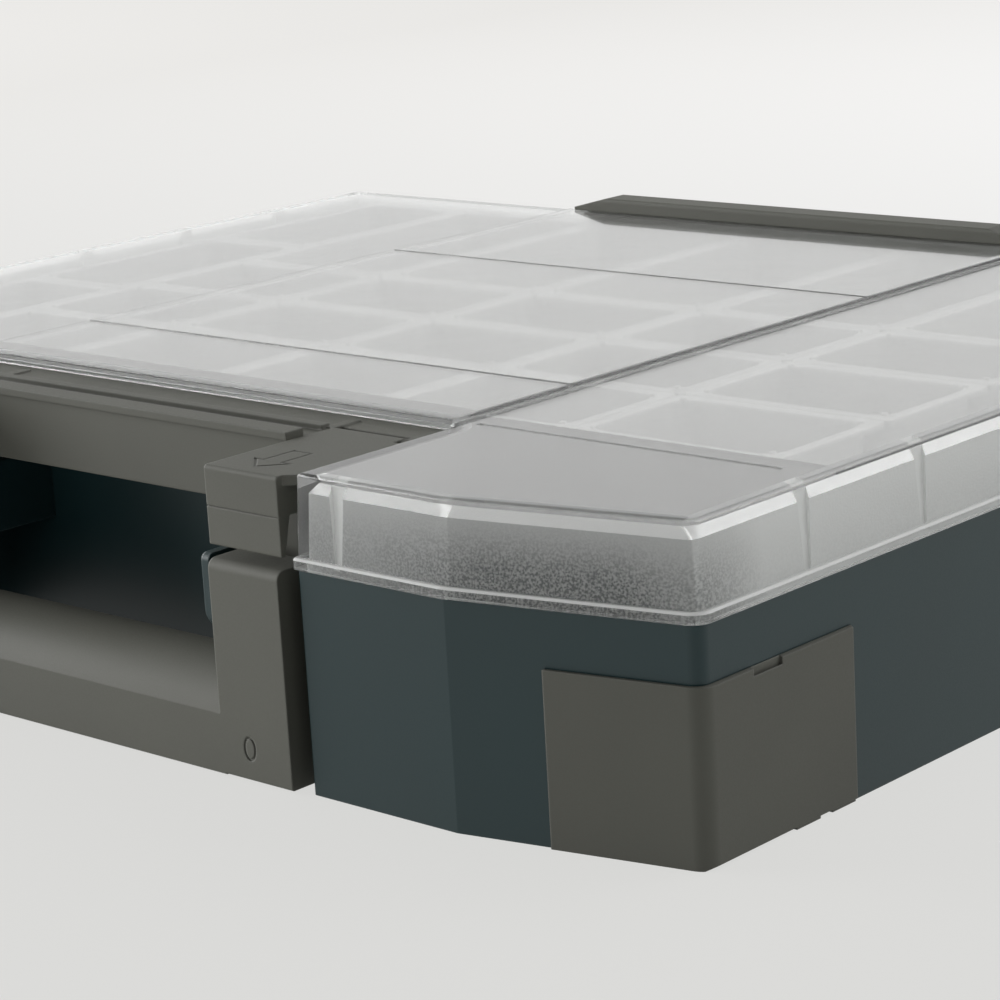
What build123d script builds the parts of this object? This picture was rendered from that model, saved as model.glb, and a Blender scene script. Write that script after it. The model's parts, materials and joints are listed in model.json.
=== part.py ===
from build123d import *
import math
import os

# Assortment case: a deep tray with a clear hinged lid, two snap latches, a fold-down
# handle between two front shoulders, four corner guards and lift-out insert cups.
# Frame: +X to the right seen from the front, +Y to the back, +Z up, origin on the floor
# under the middle of the whole case. All sizes are millimetres.

# Overall sizes of the case
case_width = 413.0
case_depth = 330.0
base_height = 56.0
lid_height = 24.5
lid_seat_gap = 0.3

# Plan outline: a front niche for the handle, with a shoulder on each side of it
niche_half_width = 94.7
niche_depth = 56.0
shoulder_flat = 47.9
shoulder_setback = 13.6
corner_radius = 5.0
shoulder_edge_radius = 1.8
niche_corner_radius = 2.0
least_radius = 0.5

# Walls
rim_proud = 1.2
rim_height = 2.7
rim_chamfer = 0.5
base_wall = 2.4
base_floor = 4.0
foot_height = 1.6
foot_width = 12.0
foot_columns = 4
foot_rows = 2
foot_pocket_radius = 6.0
lid_wall = 2.4
lid_draft = 1.0
lid_edge_radius = 1.0
lid_inner_bevel = 2.5

# Insert cups, which fill the tub: short rows in front, one deep row behind, a narrow column
cup_row_depth = 45.0
narrow_column_width = 45.0
cup_columns = 5
cup_short_rows = 3
narrow_column_cups = 3
cup_gap = 0.6
cup_wall = 1.2
cup_flange = 2.2
cup_flange_thickness = 1.4
cup_draft_degrees = 1.0
cup_corner_radius = 7.0
cup_top_clearance = 1.3
cup_nub_radius = 0.9
cup_nub_height = 0.6
cup_nub_inset = 4.6
tub_front_setback = 16.0
tub_side_setback = 22.75
tub_back_setback = 13.5
fence_clearance = 0.5
fence_wall = 2.0
fence_height = 10.0

# Lid top and lid wall detail
strip_step = 1.2
groove_width = 1.3
groove_depth = 0.5
front_groove_setback = 46.5
rear_groove_setback = 97.1
lid_rib_front_setback = 55.5
lid_rib_back_setback = 47.0
lid_rib_count = 6
lid_rib_width = 2.2
lid_rib_top_width = 5.0
lid_rib_proud = 1.4
lid_rib_top_proud = 3.4
lid_rib_bottom_gap = 1.0
shoulder_rib_setback = 13.7
shoulder_step_setback = 5.0
shoulder_step_height = 0.4
shoulder_step_inner_margin = 6.0
shoulder_step_outer_margin = 13.0

# Corner guards
guard_front_length = 39.1
guard_side_length = 69.0
guard_height = 42.3
guard_proud = 1.0
guard_inset = 1.0
guard_bevel = 0.8
guard_foot_chamfer = 1.6
guard_notch_setback = 37.0
guard_notch_width = 5.2
guard_notch_depth = 1.8
guard_pad_length = 9.0
guard_pad_gap = 4.6
guard_pad_height = 1.6
guard_pad_margin = 0.5
guard_pad_setback = 0.3

# Handle
arm_side_gap = 3.4
arm_width = 23.9
arm_top_drop = 0.8
arm_depth = 18.0
handle_proud = 1.5
handle_floor_gap = 0.6
grip_depth = 25.0
grip_top = 27.0
grip_flat_top = 16.0
grip_crown_back = 18.5
grip_round_back = 5.5
grip_round_rise = 7.6
grip_back_drop = 3.0
grip_wall = 3.0
grip_pocket_depth = 13.0
grip_pocket_lift = 3.0
grip_pocket_count = 6
pivot_drop = 9.6
pivot_back = 9.5
handle_pin_radius = 2.5
running_clearance = 0.05
boss_radius = 5.5
side_clearance = 0.3
pin_cap = 2.0
arm_front_round = 2.5
arm_back_round = 7.0
arm_foot_rise = 4.0
arm_foot_round = 2.0
arm_edge_round = 0.6
ear_thickness = 2.6
ear_gap = 3.0
ear_height = 20.0
ear_setback = 1.5
ear_round = 6.0
ear_top_round = 2.0
ring_mark_width = 4.3
ring_mark_height = 6.3
ring_mark_line = 0.7
ring_mark_depth = 0.35
ring_mark_inset = 9.9
ring_mark_z = 8.8
handle_swing_clearance = 0.5

# Latches
latch_side_gap = 3.3
latch_width = 24.8
latch_setback = 0.5
latch_top_drop = 2.5
latch_bottom_gap = 2.3
latch_cheek_height = 10.0
latch_skin = 2.5
latch_flap_top = 3.6
latch_tab = 1.2
latch_pivot_setback = 12.2
latch_knuckle_radius = 3.5
latch_pin_radius = 1.5
latch_edge_radius = 1.0
latch_tip_radius = 0.4
latch_cheek = 2.0
latch_cheek_slope = 6.0
latch_ear_width = 4.2
latch_ear_setback = 5.0
latch_ear_slope = 3.0
hook_thickness = 2.5
hook_width = 17.0
hook_nib = 1.5
hook_nib_height = 2.6
hook_nib_face = 1.0
catch_gap = 0.3
catch_drop = 1.0
hook_reach = 3.0
catch_thickness = 3.0
catch_gusset = 6.0
catch_lip_setback = 23.3
latch_line_depth = 0.3
arrow_length = 17.0
arrow_width = 14.0
arrow_line = 0.8
arrow_setback = 4.5

# Front bar on the lid, between and behind the latches
bar_latch_gap = 1.9
bar_setback = 31.0
bar_bottom_gap = 3.4
bar_deck_drop = 3.1
bar_deck_thickness = 2.4
bar_front_wall = 2.6
bar_lip_proud = 1.2
bar_lip_depth = 6.0
bar_lip_drop = 1.0
bar_second_lip_back = 6.5
bar_second_lip_depth = 2.6
bar_second_lip_drop = 1.7
bar_channel_drop = 1.6
bar_back_plate = 3.0
bar_end_wall = 2.0
bar_rib_count = 3
lug_thickness = 2.8
lug_gap = 0.3
lug_top_drop = 0.2

# Rear rail and hinge
rail_half_length = 91.5
rail_ramp = 14.0
rail_height = 4.6
rail_depth = 6.5
rail_apron = 2.5
rail_front_round = 1.2
rail_back_round = 1.5
rail_end_height = 1.0
apron_gap = 0.6
hinge_gap = 0.6
knuckle_radius = 3.4
hinge_pin_radius = 1.5
hinge_centre_x = 62.0
hinge_segment = 11.0
hinge_segment_gap = 0.4
hinge_segments = 5
hinge_leg_drop = 12.0
hinge_leg_reach = 2.4
hinge_leg_top_drop = 0.4
hinge_arm_rise = 3.0
hinge_arm_waist = 2.0
hinge_arm_bulge = 1.0
hinge_arm_gap = 0.3
hinge_rise = 2.0

# Positions worked out from the sizes above
half_width = case_width / 2
front_y = -case_depth / 2
back_y = case_depth / 2
niche_y = front_y + niche_depth
lid_bottom = base_height + lid_seat_gap
lid_wall_bottom = lid_bottom + rim_height
lid_top = base_height + lid_height
shoulder_top = lid_top - strip_step
cup_top = shoulder_top - lid_wall - cup_top_clearance
tub_front = niche_y + tub_front_setback
tub_depth = back_y - tub_back_setback - tub_front
tub_right = half_width - tub_side_setback
cup_width = (2 * tub_right - narrow_column_width) / cup_columns
rear_cup_depth = tub_depth - cup_short_rows * cup_row_depth
guard_front_start = half_width - guard_front_length
guard_side_end = back_y - guard_side_length
guard_notch_y = back_y - guard_notch_setback
arm_outer_x = niche_half_width - arm_side_gap
arm_inner_x = arm_outer_x - arm_width
arm_top = base_height - arm_top_drop
pivot_height = arm_top - pivot_drop
handle_front = front_y - handle_proud
pivot_y = handle_front + pivot_back
niche_side_x = niche_half_width + rim_proud
niche_wall_y = niche_y + rim_proud
ear_outer_x = arm_inner_x - ear_gap
ear_inner_x = ear_outer_x - ear_thickness
latch_outer_x = niche_half_width - latch_side_gap
latch_inner_x = latch_outer_x - latch_width
latch_front = front_y + latch_setback
latch_top = lid_top - latch_top_drop
latch_bottom = base_height + latch_bottom_gap
latch_side_bottom = latch_top - latch_cheek_height
latch_pivot_y = niche_y - latch_pivot_setback
latch_pivot_z = latch_top - latch_knuckle_radius
catch_front = front_y + catch_lip_setback
catch_top = base_height - catch_drop
hook_bottom = catch_top - catch_thickness - hook_reach
bar_front = front_y + bar_setback
bar_half_width = latch_inner_x - bar_latch_gap
bar_bottom = base_height + bar_bottom_gap
bar_deck_top = lid_top - bar_deck_drop
bar_lip_top = lid_top - bar_lip_drop
bar_second_lip_top = lid_top - bar_second_lip_drop
hinge_y = back_y + hinge_gap + knuckle_radius
hinge_height = base_height + hinge_rise
frame_shift_y = -(handle_front + hinge_y + knuckle_radius) / 2
overshoot = 1.0
sink = 0.5


def box_between(x, y, z):
    """A box from three (low, high) pairs."""
    size = Box(x[1] - x[0], y[1] - y[0], z[1] - z[0])
    return Pos((x[0] + x[1]) / 2, (y[0] + y[1]) / 2, (z[0] + z[1]) / 2) * size


def outline_points(inset):
    """Corners of the case outline, drawn in by inset, going round from the niche."""
    right = half_width - inset
    side = niche_half_width + inset
    wall = niche_y + inset
    slope = shoulder_setback / (half_width - niche_half_width - shoulder_flat)
    front = front_y + inset
    bend_x = niche_half_width + shoulder_flat
    bend_x += inset * math.tan(math.atan(slope) / 2)
    corner_y = front + (right - bend_x) * slope
    half = [(side, wall), (side, front), (bend_x, front), (right, corner_y), (right, back_y - inset)]
    return half + [(-x, y) for x, y in reversed(half)]


def outline_face(inset, height):
    """The case outline as a face, with its corner rounds kept concentric."""
    outer = max(corner_radius - inset, least_radius)
    edge = max(shoulder_edge_radius - inset, least_radius)
    niche = niche_corner_radius + inset
    half = [niche, edge, 0.0, outer, outer]
    radii = half + half[::-1]
    line = FilletPolyline(*outline_points(inset), radius=radii, close=True)
    return Pos(0, 0, height) * make_face(line)


def outline_block(inset, bottom, top):
    return extrude(outline_face(inset, bottom), amount=top - bottom)


def profile_along_x(points, x_low, x_high, radii=None):
    """A (y, z) outline pushed from x_low to x_high."""
    line = FilletPolyline(*points, radius=radii or [0.0] * len(points), close=True)
    return Pos(x_low, 0, 0) * extrude(Plane.YZ * make_face(line), amount=x_high - x_low)


def rod_along_x(radius, y, z, x_low, x_high):
    rod = Cylinder(radius, x_high - x_low, rotation=(0, 90, 0))
    return Pos((x_low + x_high) / 2, y, z) * rod


def mirrored(shape):
    return mirror(shape, about=Plane.YZ)


def base_tray():
    """Outer walls and floor, a low fence that holds the cups, feet, and the hinge eyes."""
    tray = outline_block(rim_proud, 0, base_height)
    tray -= outline_block(rim_proud + base_wall, base_floor, base_height + overshoot)
    tray += cup_fence()
    tray -= foot_pockets()
    for low, high in knuckle_spans(False):
        knuckle = base_knuckle(low, high)
        tray += knuckle + mirrored(knuckle)
    for front in (True, False):
        recess = guard_block(front)
        tray -= recess + mirrored(recess)
    return tray


def cup_fence():
    """A low wall on the floor, all round the cups."""
    reach = tub_right + fence_clearance
    front = tub_front - fence_clearance
    back = tub_front + tub_depth + fence_clearance
    z = (base_floor - overshoot, base_floor + fence_height)
    fence = box_between((-reach - fence_wall, reach + fence_wall), (front - fence_wall, back + fence_wall), z)
    return fence - box_between((-reach, reach), (front, back), (0, base_height))


def foot_pockets():
    """Shallow pockets under the floor, which leave a foot all round and straps across."""
    reach_x = half_width - rim_proud - foot_width
    low_y = niche_y + rim_proud + foot_width
    high_y = back_y - rim_proud - foot_width
    pitch_x = (2 * reach_x + foot_width) / foot_columns
    pitch_y = (high_y - low_y + foot_width) / foot_rows
    pocket = RectangleRounded(pitch_x - foot_width, pitch_y - foot_width, foot_pocket_radius)
    pockets = []
    for column in range(foot_columns):
        for row in range(foot_rows):
            x = -reach_x - foot_width / 2 + (column + 0.5) * pitch_x
            y = low_y - foot_width / 2 + (row + 0.5) * pitch_y
            pockets.append(Pos(x, y, -overshoot) * extrude(pocket, amount=foot_height + overshoot))
    return pockets


def latch_catch():
    """Right-hand ear plate for the handle pin, with the shelf that the latch hooks on."""
    ear_front = front_y + ear_setback
    ear_bottom = arm_top - ear_height
    ear = profile_along_x(
        [(ear_front, arm_top), (niche_wall_y, arm_top), (niche_wall_y, ear_bottom), (ear_front, ear_bottom)],
        ear_inner_x, ear_outer_x, [ear_top_round, 0.0, 0.0, ear_round])
    shelf = box_between((ear_inner_x, niche_side_x), (catch_front, niche_wall_y),
                        (catch_top - catch_thickness, catch_top))
    gusset = box_between((ear_inner_x, niche_side_x), (niche_wall_y - catch_gusset, niche_wall_y),
                         (ear_bottom, catch_top))
    catch = ear + shelf + gusset - outline_block(rim_proud, 0, base_height)
    return catch - handle_pin_bore()


def handle_pin_bore():
    """The pin's seat in the ear plate."""
    return rod_along_x(handle_pin_radius, pivot_y, pivot_height,
                       ear_inner_x - overshoot, ear_outer_x + overshoot)


def base_knuckle(x_low, x_high):
    """One hinge eye on a leg that runs down to the rear wall."""
    wall = back_y - rim_proud
    leg_bottom = hinge_height - hinge_leg_drop
    leg_top = base_height - hinge_leg_top_drop
    leg = profile_along_x(
        [(wall - sink, leg_bottom), (hinge_y, hinge_height - knuckle_radius),
         (hinge_y + knuckle_radius, hinge_height), (hinge_y, hinge_height),
         (wall + hinge_leg_reach, leg_top), (wall - sink, leg_top)],
        x_low, x_high)
    eye = rod_along_x(knuckle_radius, hinge_y, hinge_height, x_low, x_high)
    bore = rod_along_x(hinge_pin_radius, hinge_y, hinge_height, x_low - overshoot, x_high + overshoot)
    return leg + eye - bore


def knuckle_spans(on_lid):
    """X spans of the hinge eyes: base, lid, base, lid, base about one hinge."""
    spans = []
    for index in range(hinge_segments):
        if (index % 2 == 1) == on_lid:
            middle = hinge_centre_x + (index - (hinge_segments - 1) / 2) * hinge_segment
            reach = (hinge_segment - hinge_segment_gap) / 2
            spans.append((middle - reach, middle + reach))
    return spans


def guard_span(front):
    return (front_y - overshoot, -guard_side_end) if front else (guard_side_end, back_y + overshoot)


def guard_block(front):
    """The plain block that a right-hand guard is cut from, also its recess in the tray."""
    skin = outline_block(rim_proud - guard_proud, 0, guard_height)
    skin -= outline_block(rim_proud + guard_inset, -overshoot, guard_height + overshoot)
    reach = (guard_front_start, half_width + overshoot)
    return skin & box_between(reach, guard_span(front), (0, guard_height))


def corner_guard(front):
    """Right-hand guard; the front one follows the shoulder, the rear one the square corner."""
    guard = guard_block(front)
    side_y = guard_span(front)
    edge = guard_bevel
    face_x = half_width - rim_proud + guard_proud
    bevel = profile_chamfer(face_x, guard_height, edge, side_y)
    foot = profile_chamfer(face_x, 0, guard_foot_chamfer, side_y)
    middle_y = -guard_notch_y if front else guard_notch_y
    notch = Pos(half_width, middle_y, guard_height) * Rot(90, 0, 90) * notch_prism()
    guard = guard - bevel - foot - notch
    for index in range(2):
        start = guard_side_end + guard_pad_margin + index * (guard_pad_length + guard_pad_gap)
        span = (start, start + guard_pad_length)
        span = (-span[1], -span[0]) if front else span
        guard += box_between((half_width - rim_proud - guard_inset, face_x - guard_pad_setback),
                             span, (0, guard_pad_height))
    return guard


def notch_prism():
    half = guard_notch_width / 2
    line = Polyline((-half, overshoot), (half, overshoot), (0, -guard_notch_depth), close=True)
    return extrude(make_face(line), amount=guard_notch_width, both=True)


def profile_chamfer(face_x, height, size, side_y):
    """A prism that takes the outer long edge off the side face of a guard."""
    line = Polyline((face_x - size, height), (face_x + size, height + size),
                    (face_x + size, height - size), close=True)
    prism = extrude(Plane.XZ * make_face(line), amount=side_y[0] - side_y[1])
    return Pos(0, side_y[0], 0) * prism


def all_guards():
    front = corner_guard(True)
    rear = corner_guard(False)
    return {
        "corner_guard_front_right": front,
        "corner_guard_front_left": mirrored(front),
        "corner_guard_rear_right": rear,
        "corner_guard_rear_left": mirrored(rear),
    }


def lid_block(inset, bottom, top):
    """The outline pushed up with the draft of the lid wall."""
    taper = math.degrees(math.atan(lid_draft / (lid_top - lid_wall_bottom)))
    return extrude(outline_face(inset, bottom), amount=top - bottom, taper=taper)


def lid_body():
    """The outside of the lid above its flange, as one block with a rounded top edge."""
    body = lid_block(rim_proud, lid_bottom, shoulder_top)
    return fillet(body.faces().sort_by(Axis.Z)[-1].edges(), lid_edge_radius)


def lid_shell():
    """Clear cover: rim flange, drafted wall, top with a raised middle strip."""
    flange = outline_block(0, lid_bottom, lid_wall_bottom)
    flange = chamfer(flange.edges().group_by(Axis.Z)[-1], rim_chamfer)
    inside = lid_inside()
    shell = flange + lid_body()
    strip_y = (niche_y + rim_proud + lid_draft, back_y - rim_proud - rail_depth)
    shell += box_between((-niche_half_width, niche_half_width), strip_y, (shoulder_top - overshoot, lid_top))
    shell -= inside
    hollow_x = niche_half_width - lid_wall
    hollow_y = (strip_y[0] + lid_wall + lid_inner_bevel, strip_y[1] - lid_wall)
    shell -= box_between((-hollow_x, hollow_x), hollow_y,
                         (shoulder_top - lid_wall - overshoot, lid_top - lid_wall))
    for y in (niche_y + front_groove_setback, back_y - rear_groove_setback):
        groove_y = (y - groove_width / 2, y + groove_width / 2)
        shell -= box_between((-niche_half_width, niche_half_width), groove_y,
                             (lid_top - groove_depth, lid_top + overshoot))
    for rib in lid_ribs():
        shell += rib & inside
    for side in (1, -1):
        shell -= shoulder_step(side)
    return shell


def lid_inside():
    """The room under the lid, with a bevel where the wall meets the top."""
    bottom = lid_bottom - overshoot
    roof = shoulder_top - lid_wall
    bend = roof - lid_inner_bevel
    lean = lid_draft * (bend - bottom) / (shoulder_top - lid_bottom)
    inset = rim_proud + lid_wall
    bend_face = outline_face(inset + lean, bend)
    roof_face = outline_face(inset + lean + lid_inner_bevel, roof)
    wall = loft([outline_face(inset, bottom), bend_face], ruled=True)
    return wall + loft([bend_face, roof_face], ruled=True)


def shoulder_step(side):
    """The front of each shoulder's top lies a little lower than the rest."""
    x = sorted((side * (niche_half_width + shoulder_step_inner_margin),
                side * (half_width - shoulder_step_outer_margin)))
    middle = niche_y + shoulder_step_setback
    y = (middle - groove_width / 2, middle + groove_width / 2)
    return box_between(tuple(x), y, (shoulder_top - shoulder_step_height, shoulder_top + overshoot))


def lid_ribs():
    """Upright ribs on the inner faces of the lid wall, wider towards the top."""
    ribs = []
    inner_x = half_width - rim_proud - lid_wall
    first_y = front_y + lid_rib_front_setback
    pitch = (back_y - lid_rib_back_setback - first_y) / (lid_rib_count - 1)
    for side in (1, -1):
        for index in range(lid_rib_count):
            y = first_y + index * pitch
            ribs.append(Pos(side * inner_x, y, 0) * Rot(0, 0, 90 * side + 90) * rib_wedge())
        front = front_y + rim_proud + lid_wall
        rib_x = side * (niche_half_width + shoulder_rib_setback)
        ribs.append(Pos(rib_x, front, 0) * Rot(0, 0, 90) * rib_wedge())
    return ribs


def rib_wedge():
    """A rib that stands in from a wall at its origin towards +X."""
    low = lid_bottom + lid_rib_bottom_gap
    high = shoulder_top - lid_wall / 2
    sections = []
    ends = ((low, lid_rib_width, lid_rib_proud), (high, lid_rib_top_width, lid_rib_top_proud))
    for z, width, proud in ends:
        reach = proud + lid_wall
        sections.append(Pos((proud - lid_wall) / 2, 0, z) * Rectangle(reach, width))
    return loft(sections)


def front_bar():
    """Grey bar along the niche edge of the lid, with a lipped channel and latch lugs."""
    back = niche_y + rim_proud + lid_draft
    deck = bar_deck_top
    low_deck = deck - bar_channel_drop
    second_front = bar_front + bar_lip_depth - bar_lip_proud + bar_second_lip_back
    second_back = second_front + bar_second_lip_depth
    lip_front = bar_front - bar_lip_proud
    lip_back = lip_front + bar_lip_depth
    plate = niche_y - bar_back_plate
    outer = [
        (bar_front, bar_bottom), (bar_front, deck), (lip_front, deck), (lip_front, bar_lip_top),
        (lip_back, bar_lip_top), (lip_back, deck), (second_front, deck),
        (second_front, bar_second_lip_top), (second_back, bar_second_lip_top),
        (second_back, low_deck), (plate, low_deck), (plate, deck), (back, deck), (back, bar_bottom)]
    bar = profile_along_x(outer, -bar_half_width, bar_half_width)
    pocket_top = low_deck - bar_deck_thickness
    pocket_y = (bar_front + bar_front_wall, plate)
    pocket_count = bar_rib_count + 1
    pocket_width = (2 * bar_half_width - (pocket_count + 1) * bar_end_wall) / pocket_count
    for index in range(pocket_count):
        left = -bar_half_width + bar_end_wall + index * (pocket_width + bar_end_wall)
        bar -= box_between((left, left + pocket_width), pocket_y, (bar_bottom - overshoot, pocket_top))
    reach = niche_half_width - side_clearance
    bar += box_between((-reach, reach), (plate, back), (bar_bottom, deck))
    shelf_front = latch_pivot_y + latch_knuckle_radius + lug_gap
    bar += box_between((-reach, reach), (shelf_front, back), (pocket_top, deck))
    for side in (1, -1):
        for low, high in ((latch_inner_x - lug_gap - lug_thickness, latch_inner_x - lug_gap),
                          (latch_outer_x + lug_gap, latch_outer_x + lug_gap + lug_thickness)):
            lug = latch_lug(low, high)
            bar += lug if side == 1 else mirrored(lug)
    pin_reach = latch_outer_x + lug_gap + lug_thickness + overshoot
    bore_low = latch_inner_x - lug_gap - lug_thickness
    bore = rod_along_x(latch_pin_radius, latch_pivot_y, latch_pivot_z, bore_low, pin_reach)
    bar -= bore + mirrored(bore)
    return bar - lid_body()


def latch_lug(x_low, x_high):
    """A cheek that holds one end of a latch pin."""
    radius = latch_knuckle_radius
    cheek = box_between((x_low, x_high), (latch_pivot_y, niche_y - bar_back_plate / 2),
                        (latch_pivot_z - radius, latch_top - lug_top_drop))
    eye = rod_along_x(radius, latch_pivot_y, latch_pivot_z, x_low, x_high)
    above = box_between((x_low, x_high), (latch_pivot_y - 2 * radius, latch_pivot_y),
                        (latch_top - lug_top_drop, latch_top + overshoot))
    return cheek + (eye - above)


def latch():
    """Right-hand latch: top plate, front flap with a thinned finger tab, side cheeks, hook."""
    front = latch_front
    plate_bottom = latch_top - latch_skin
    shape = profile_along_x(
        [(front, latch_bottom), (front, latch_top), (latch_pivot_y, latch_top),
         (latch_pivot_y, plate_bottom), (front + latch_flap_top, plate_bottom),
         (front + latch_flap_top, latch_side_bottom), (front + latch_tab, latch_bottom)],
        latch_inner_x, latch_outer_x,
        [latch_tip_radius, latch_edge_radius, 0.0, 0.0, 0.0, 0.0, latch_tip_radius])
    cheek = profile_along_x(
        [(front + latch_tab, latch_side_bottom), (front + latch_tab, latch_top - latch_edge_radius),
         (latch_pivot_y, latch_top - latch_edge_radius),
         (latch_pivot_y, latch_pivot_z - latch_knuckle_radius),
         (latch_pivot_y - latch_cheek_slope, latch_side_bottom)],
        latch_inner_x, latch_inner_x + latch_cheek)
    shape += cheek
    shape += Pos(latch_width - latch_cheek, 0, 0) * cheek
    shape += rod_along_x(latch_knuckle_radius, latch_pivot_y, latch_pivot_z, latch_inner_x, latch_outer_x)
    shape += latch_hook(plate_bottom)
    shape += latch_ear(plate_bottom)
    bore_radius = latch_pin_radius + running_clearance
    shape -= rod_along_x(bore_radius, latch_pivot_y, latch_pivot_z,
                         latch_inner_x - overshoot, latch_outer_x + overshoot)
    line_low = latch_side_bottom - latch_line_depth / 2
    shape -= box_between((latch_inner_x - overshoot, latch_outer_x + overshoot),
                         (front - overshoot, front + latch_line_depth),
                         (line_low, line_low + latch_line_depth))
    shape -= arrow_mark()
    return shape


def latch_hook(plate_bottom):
    """The leg under the top plate, with a nib that points at the catch shelf."""
    middle = (latch_inner_x + latch_outer_x) / 2
    x = (middle - hook_width / 2, middle + hook_width / 2)
    nib_tip = catch_front - catch_gap
    leg_back = nib_tip - hook_nib
    nib_top = hook_bottom + hook_nib_height
    return profile_along_x(
        [(leg_back - hook_thickness, hook_bottom), (leg_back - hook_thickness, plate_bottom + sink),
         (leg_back, plate_bottom + sink), (leg_back, nib_top), (nib_tip, nib_top),
         (nib_tip, nib_top - hook_nib_face), (leg_back, hook_bottom)],
        *x)


def latch_ear(plate_bottom):
    """The top plate reaches sideways to the lid, from a little behind the flap."""
    start = latch_front + latch_ear_setback
    end = latch_pivot_y - latch_knuckle_radius - lug_gap
    root_x = latch_outer_x - overshoot
    ear_x = latch_outer_x + latch_ear_width
    line = Polyline((root_x, start - latch_ear_slope), (latch_outer_x, start - latch_ear_slope),
                    (ear_x, start), (ear_x, end), (root_x, end), close=True)
    return Pos(0, 0, plate_bottom) * extrude(make_face(line), amount=latch_skin)


def arrow_mark():
    """A shallow outlined arrow on top of the latch that points to the front."""
    middle = (latch_inner_x + latch_outer_x) / 2
    tip_y = latch_front + arrow_setback
    half = arrow_width / 2
    stem = half / 2
    outer = Polyline((middle, tip_y), (middle + half, tip_y + half), (middle + stem, tip_y + half),
                     (middle + stem, tip_y + arrow_length), (middle - stem, tip_y + arrow_length),
                     (middle - stem, tip_y + half), (middle - half, tip_y + half), close=True)
    face = make_face(outer)
    ring = face - offset(face, amount=-arrow_line, kind=Kind.INTERSECTION)
    return Pos(0, 0, latch_top - latch_line_depth) * extrude(ring, amount=overshoot)


def carry_handle():
    """One moulding: a rounded grip between two flat arms, with a ribbed back."""
    front = handle_front
    back = front + grip_depth
    low = handle_floor_gap
    flat_end = (front, grip_flat_top)
    round_middle = (front + grip_round_back, grip_flat_top + grip_round_rise)
    crown = (front + grip_crown_back, grip_top)
    heel = (back, grip_top - grip_back_drop)
    grip_line = Curve() + [
        Line((front, low), flat_end),
        ThreePointArc(flat_end, round_middle, crown),
        Line(crown, heel),
        Line(heel, (back, low)),
        Line((back, low), (front, low))]
    grip = extrude(Plane.YZ * make_face(grip_line), amount=arm_inner_x + overshoot, both=True)
    arm = profile_along_x(
        [(front, low), (front, arm_top), (front + arm_depth, arm_top),
         (front + arm_depth, grip_top + arm_foot_rise), heel, (back, low)],
        arm_inner_x, arm_outer_x,
        [arm_edge_round, arm_front_round, arm_back_round, arm_foot_round, arm_foot_round, 0.0])
    boss = rod_along_x(boss_radius, pivot_y, pivot_height, ear_outer_x + side_clearance,
                       arm_inner_x + overshoot)
    arm = arm + boss - ring_mark(front)
    handle = grip + arm + mirrored(arm)
    handle -= grip_pockets(back, low)
    swing = rod_along_x(pivot_height - handle_swing_clearance, pivot_y, pivot_height,
                        -half_width, half_width)
    front_part = box_between((-half_width, half_width), (front - overshoot, pivot_y), (0, base_height))
    handle &= swing + front_part
    bore_radius = handle_pin_radius + running_clearance
    bore_reach = arm_outer_x - pin_cap
    handle -= rod_along_x(bore_radius, pivot_y, pivot_height, -bore_reach, bore_reach)
    return handle


def grip_pockets(back, low):
    """Pockets in the rear of the grip that leave an even wall and cross ribs."""
    span = 2 * (arm_inner_x - grip_wall)
    width = (span - (grip_pocket_count - 1) * grip_wall) / grip_pocket_count
    pockets = []
    for index in range(grip_pocket_count):
        left = -span / 2 + index * (width + grip_wall)
        pockets.append(box_between((left, left + width), (back - grip_pocket_depth, back + overshoot),
                                   (low + grip_wall + grip_pocket_lift,
                                    grip_top - grip_back_drop - grip_wall)))
    return pockets


def ring_mark(front):
    """A small oval ring, engraved low on the front of each arm."""
    outer = Ellipse(ring_mark_width / 2, ring_mark_height / 2)
    inner = Ellipse(ring_mark_width / 2 - ring_mark_line, ring_mark_height / 2 - ring_mark_line)
    plane = Plane(origin=(arm_inner_x + ring_mark_inset, front - overshoot, ring_mark_z),
                  x_dir=(1, 0, 0), z_dir=(0, -1, 0))
    return extrude(plane * (outer - inner), amount=-(overshoot + ring_mark_depth))


def rear_rail():
    """Grey rail over the rear edge of the lid, with the lid's hinge eyes on its apron."""
    rail_front = back_y - rim_proud - lid_draft - rail_depth
    apron_back = back_y + rail_apron
    top = lid_top + rail_height
    seat = shoulder_top
    apron_bottom = hinge_height + knuckle_radius + apron_gap
    block = profile_along_x(
        [(rail_front, seat), (rail_front, top), (apron_back, top), (apron_back, apron_bottom),
         (back_y, apron_bottom), (back_y, seat)],
        -rail_half_length, rail_half_length, [0.0, rail_front_round, rail_back_round, 0.0, 0.0, 0.0])
    for side in (1, -1):
        ramp_x = side * (rail_half_length - rail_ramp)
        past_x = side * (rail_half_length + overshoot)
        end_z = lid_top + rail_end_height
        ramp = Polyline((ramp_x, top + overshoot), (ramp_x, top), (side * rail_half_length, end_z),
                        (past_x, end_z), (past_x, top + overshoot), close=True)
        block -= extrude(Plane.XZ * make_face(ramp), amount=-2 * back_y)
    strip = box_between((-niche_half_width, niche_half_width), (front_y, back_y - rim_proud - rail_depth),
                        (seat - overshoot, lid_top))
    block -= strip
    for side in (1, -1):
        for low, high in knuckle_spans(True):
            eye = lid_knuckle(low, high, apron_back, apron_bottom)
            block += eye if side == 1 else mirrored(eye)
    return block


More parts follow.
